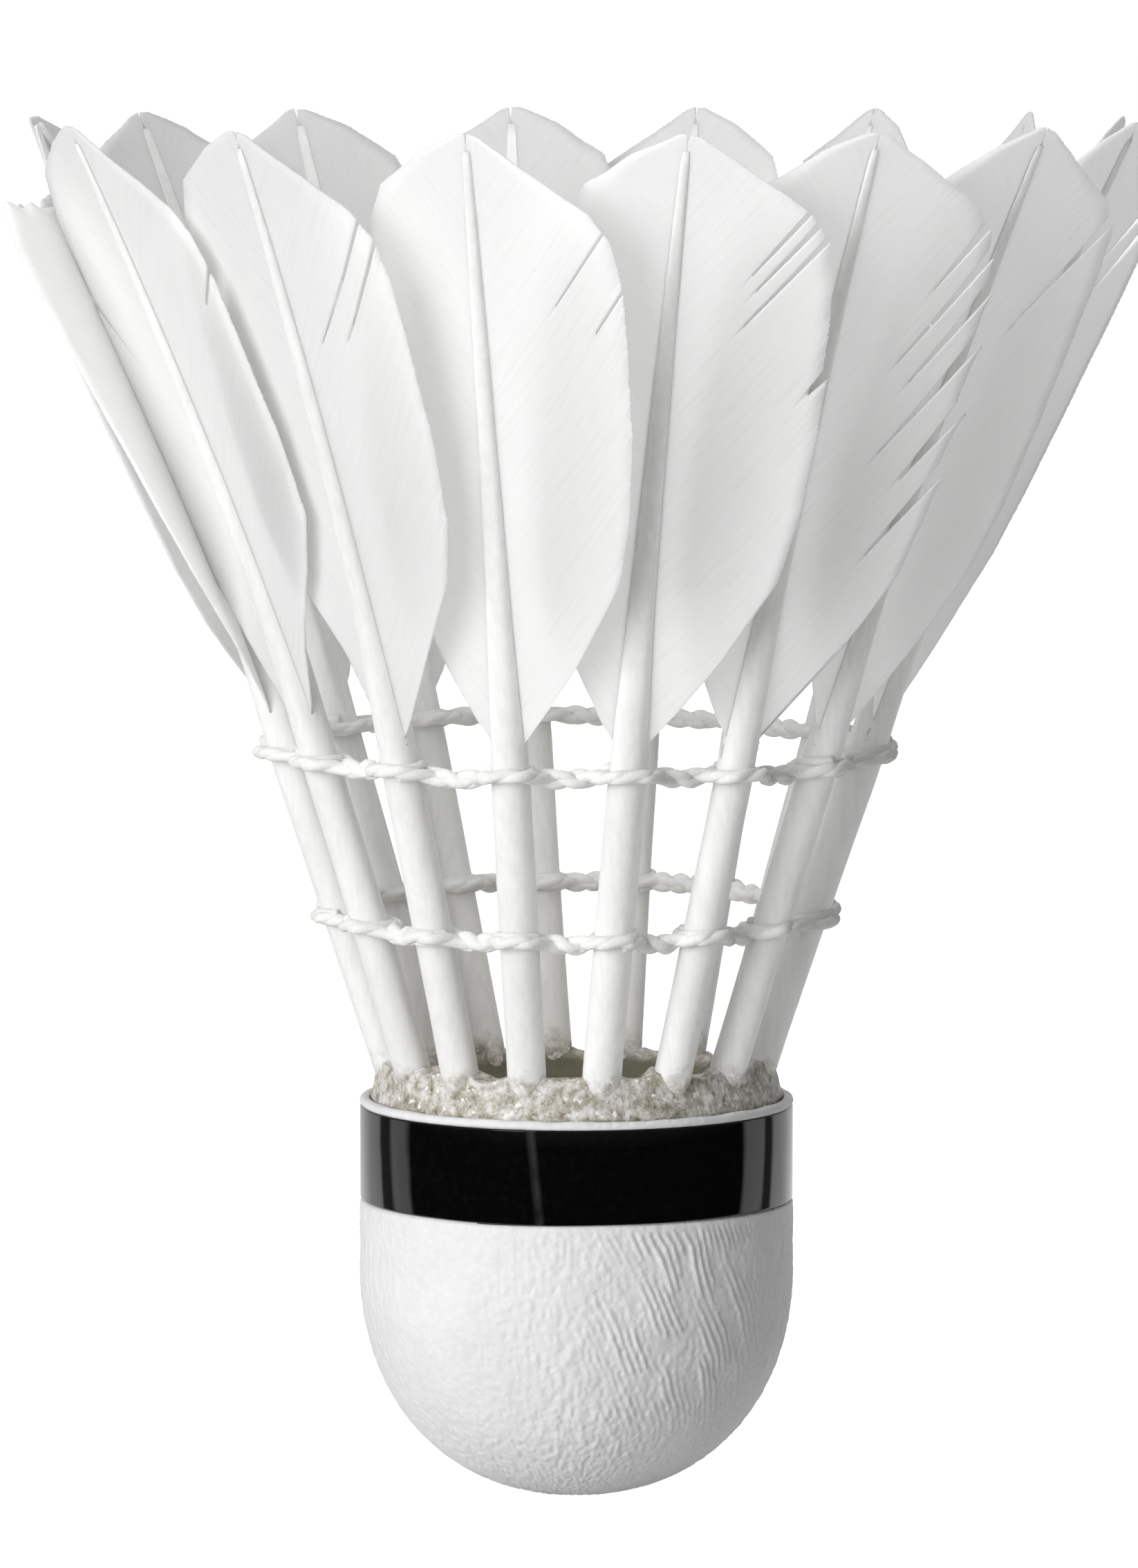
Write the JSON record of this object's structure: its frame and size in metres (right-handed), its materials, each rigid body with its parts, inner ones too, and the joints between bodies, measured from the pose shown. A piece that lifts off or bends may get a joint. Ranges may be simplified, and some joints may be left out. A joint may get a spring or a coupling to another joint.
{
  "type": "badminton shuttlecock",
  "caption": "Feathered shuttlecock: leather-covered cork nose with a black ribbon, a flaring overlapped skirt of feathers, two rows of thread and a ring of glue at the quills.",
  "frame": {"origin": "middle of the cork's flat top face, from which feather length is measured", "axes": "+Z along the shuttlecock's axis from the cork to the feather tips, so the round nose points to -Z; -Y is the side seen from the front, between the sixteenth and the first feather"},
  "size_m": [0.067, 0.067, 0.0827],
  "materials": {
    "cork": "matte",
    "leather": "satin",
    "ribbon": "polished",
    "glue": "satin",
    "vane": "satin",
    "quill": "satin",
    "thread": "satin"
  },
  "bodies": {
    "root": {"cork_core": "cork", "leather_cover": "leather", "base_ribbon": "ribbon", "glue_ring": "glue", "feather_01": "vane", "feather_02": "vane", "feather_03": "vane", "feather_04": "vane", "feather_05": "vane", "feather_06": "vane", "feather_07": "vane", "feather_08": "vane", "feather_09": "vane", "feather_10": "vane", "feather_11": "vane", "feather_12": "vane", "feather_13": "vane", "feather_14": "vane", "feather_15": "vane", "feather_16": "vane", "thread_lower": "thread", "thread_upper": "thread"}
  },
  "joints": []
}
